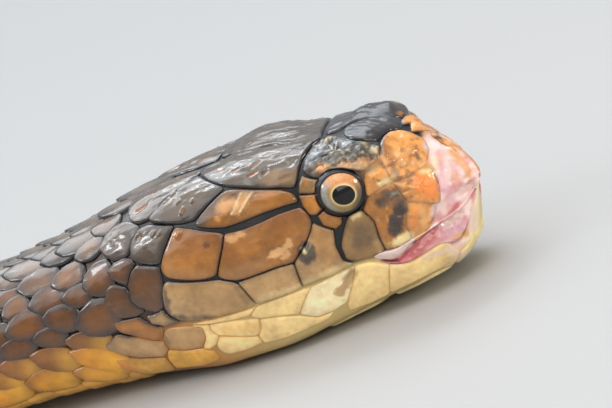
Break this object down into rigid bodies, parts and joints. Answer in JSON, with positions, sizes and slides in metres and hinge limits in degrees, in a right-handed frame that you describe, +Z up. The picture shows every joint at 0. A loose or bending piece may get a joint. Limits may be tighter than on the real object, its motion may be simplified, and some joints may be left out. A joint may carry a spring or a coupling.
{
  "type": "king cobra",
  "caption": "Long scaly snake lying in loose waves, head resting on its jaw with mouth slightly open, large head shields, round eyes, tapering tail.",
  "frame": {"origin": "centre of the whole animal's box in plan, on the floor it lies on", "axes": "+X towards the head, along the animal's longest extent; +Z up; the head's right side faces -Y"},
  "size_m": [2.0602, 0.3652, 0.0497],
  "materials": {
    "head_shields": "glossy horny shields, olive brown with orange on the snout and dark seams",
    "lip_and_chin": "satin cream-yellow shields",
    "gum": "wet pink gum and scar",
    "eye": "wet clear dome over a round black pupil and an orange and grey iris",
    "neck_scales": "glossy overlapping scales, grey-brown above, ochre at the sides, yellow below",
    "body_scales": "satin overlapping olive-brown scales with faint pale bands",
    "tail_scales": "satin dark scales with faint pale bands"
  },
  "bodies": {
    "root": {"head": "head_shields", "lower_jaw": "lip_and_chin", "mouth_lining": "gum", "eye_right": "eye", "eye_left": "eye", "neck": "neck_scales", "body_01": "body_scales", "body_02": "body_scales", "body_03": "body_scales", "body_04": "body_scales", "body_05": "body_scales", "body_06": "body_scales", "body_07": "body_scales", "body_08": "body_scales", "tail_01": "tail_scales", "tail_02": "tail_scales"}
  },
  "joints": []
}
